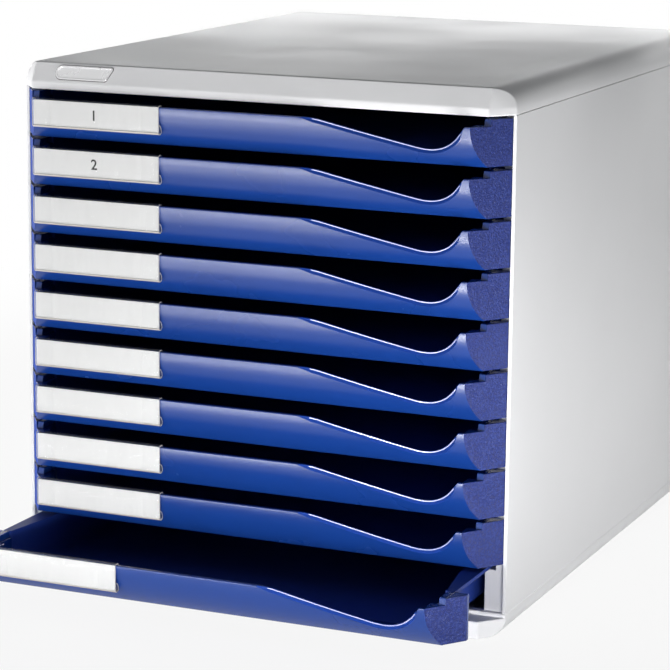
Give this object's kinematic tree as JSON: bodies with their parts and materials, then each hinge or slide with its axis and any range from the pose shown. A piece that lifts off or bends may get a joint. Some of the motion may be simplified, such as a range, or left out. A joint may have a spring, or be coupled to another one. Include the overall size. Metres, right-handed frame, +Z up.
{
  "type": "desktop drawer unit",
  "caption": "Free-standing plastic desk unit with shallow blue drawers that slide out of a pale grey housing; scooped front edges and clear label holders.",
  "frame": {"origin": "middle of the housing's underside, in the plane it stands on", "axes": "+Z up, drawer fronts face -Y, +X to the right of a person in front of the unit"},
  "size_m": [0.285, 0.4163, 0.29],
  "materials": {
    "housing_plastic": "satin",
    "drawer_plastic": "glossy front, fine-grained ends",
    "clear_plastic": "clear, polished",
    "card_paper": "matt paper",
    "badge_plastic": "satin",
    "foot_rubber": "matt"
  },
  "bodies": {
    "housing": {"base_tray": "housing_plastic", "rubber_foot_front_left": "foot_rubber", "rubber_foot_front_right": "foot_rubber", "rubber_foot_rear_left": "foot_rubber", "rubber_foot_rear_right": "foot_rubber", "side_panel_left": "housing_plastic", "side_panel_right": "housing_plastic", "back_panel": "housing_plastic", "top_cover": "housing_plastic", "badge_plate": "badge_plastic"},
    "drawer_01": {"drawer_tray_01": "drawer_plastic", "label_holder_01": "clear_plastic", "label_card_01": "card_paper"},
    "drawer_02": {"drawer_tray_02": "drawer_plastic", "label_holder_02": "clear_plastic", "label_card_02": "card_paper"},
    "drawer_03": {"drawer_tray_03": "drawer_plastic", "label_holder_03": "clear_plastic", "label_card_03": "card_paper"},
    "drawer_04": {"drawer_tray_04": "drawer_plastic", "label_holder_04": "clear_plastic", "label_card_04": "card_paper"},
    "drawer_05": {"drawer_tray_05": "drawer_plastic", "label_holder_05": "clear_plastic", "label_card_05": "card_paper"},
    "drawer_06": {"drawer_tray_06": "drawer_plastic", "label_holder_06": "clear_plastic", "label_card_06": "card_paper"},
    "drawer_07": {"drawer_tray_07": "drawer_plastic", "label_holder_07": "clear_plastic", "label_card_07": "card_paper"},
    "drawer_08": {"drawer_tray_08": "drawer_plastic", "label_holder_08": "clear_plastic", "label_card_08": "card_paper"},
    "drawer_09": {"drawer_tray_09": "drawer_plastic", "label_holder_09": "clear_plastic", "label_card_09": "card_paper"},
    "drawer_10": {"drawer_tray_10": "drawer_plastic", "label_holder_10": "clear_plastic", "label_card_10": "card_paper"}
  },
  "joints": [
    {"name": "drawer_01_slide", "type": "slide", "parent": "housing", "child": "drawer_01", "axis": [0, -1, 0], "range_m": [0, 0.2495]},
    {"name": "drawer_02_slide", "type": "slide", "parent": "housing", "child": "drawer_02", "axis": [0, -1, 0], "range_m": [0, 0.2495]},
    {"name": "drawer_03_slide", "type": "slide", "parent": "housing", "child": "drawer_03", "axis": [0, -1, 0], "range_m": [0, 0.2495]},
    {"name": "drawer_04_slide", "type": "slide", "parent": "housing", "child": "drawer_04", "axis": [0, -1, 0], "range_m": [0, 0.2495]},
    {"name": "drawer_05_slide", "type": "slide", "parent": "housing", "child": "drawer_05", "axis": [0, -1, 0], "range_m": [0, 0.2495]},
    {"name": "drawer_06_slide", "type": "slide", "parent": "housing", "child": "drawer_06", "axis": [0, -1, 0], "range_m": [0, 0.2495]},
    {"name": "drawer_07_slide", "type": "slide", "parent": "housing", "child": "drawer_07", "axis": [0, -1, 0], "range_m": [0, 0.2495]},
    {"name": "drawer_08_slide", "type": "slide", "parent": "housing", "child": "drawer_08", "axis": [0, -1, 0], "range_m": [0, 0.2495]},
    {"name": "drawer_09_slide", "type": "slide", "parent": "housing", "child": "drawer_09", "axis": [0, -1, 0], "range_m": [0, 0.2495]},
    {"name": "drawer_10_slide", "type": "slide", "parent": "housing", "child": "drawer_10", "axis": [0, -1, 0], "range_m": [-0.0515, 0.198]}
  ]
}
